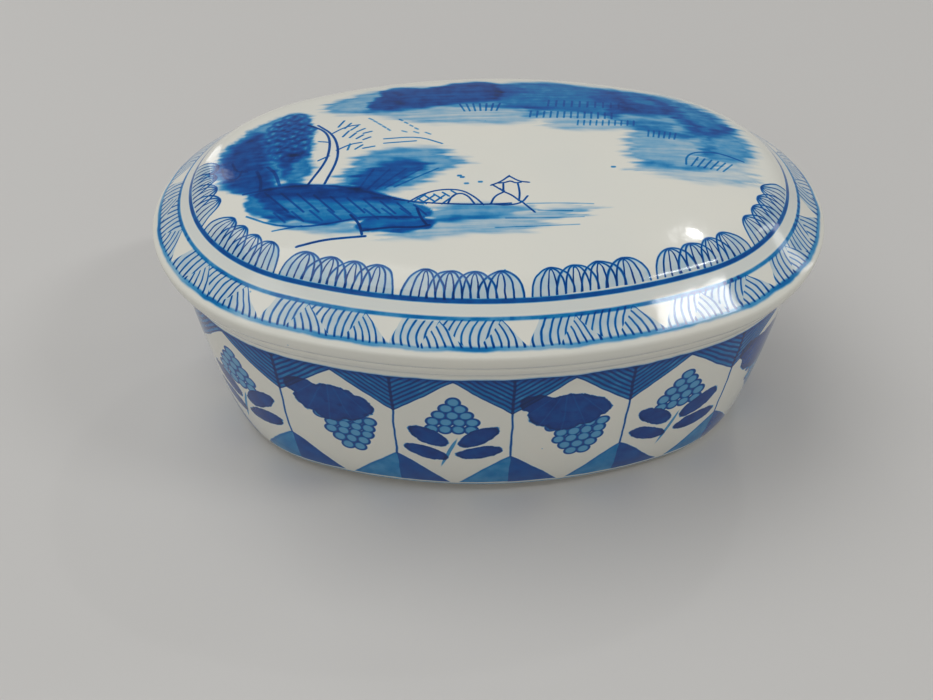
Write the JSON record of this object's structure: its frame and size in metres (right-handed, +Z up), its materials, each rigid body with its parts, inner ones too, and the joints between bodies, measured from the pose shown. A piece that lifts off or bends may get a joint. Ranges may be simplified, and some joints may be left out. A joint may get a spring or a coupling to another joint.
{
  "type": "oval porcelain trinket box",
  "caption": "Oval lidded trinket box in glazed porcelain: tapered bowl on a foot ring, domed lift-off lid with a sloping flange and locating collar, painted in blue.",
  "frame": {"origin": "middle of the underside, on the plane that the foot ring stands on", "axes": "+X along the oval's long axis, +Y across it towards the back of the painted scene, +Z up"},
  "size_m": [0.13, 0.09, 0.057],
  "materials": {
    "bowl_glaze": "glossy clear glaze over painted cobalt blue panels on off-white porcelain",
    "lid_glaze": "glossy clear glaze over a painted cobalt blue landscape and borders on off-white porcelain"
  },
  "bodies": {
    "bowl": {"bowl": "bowl_glaze"},
    "lid": {"lid": "lid_glaze"}
  },
  "joints": [
    {"name": "lid_lift", "type": "slide", "parent": "bowl", "child": "lid", "axis": [0, 0, 1], "range_m": [0, 0.06]}
  ]
}
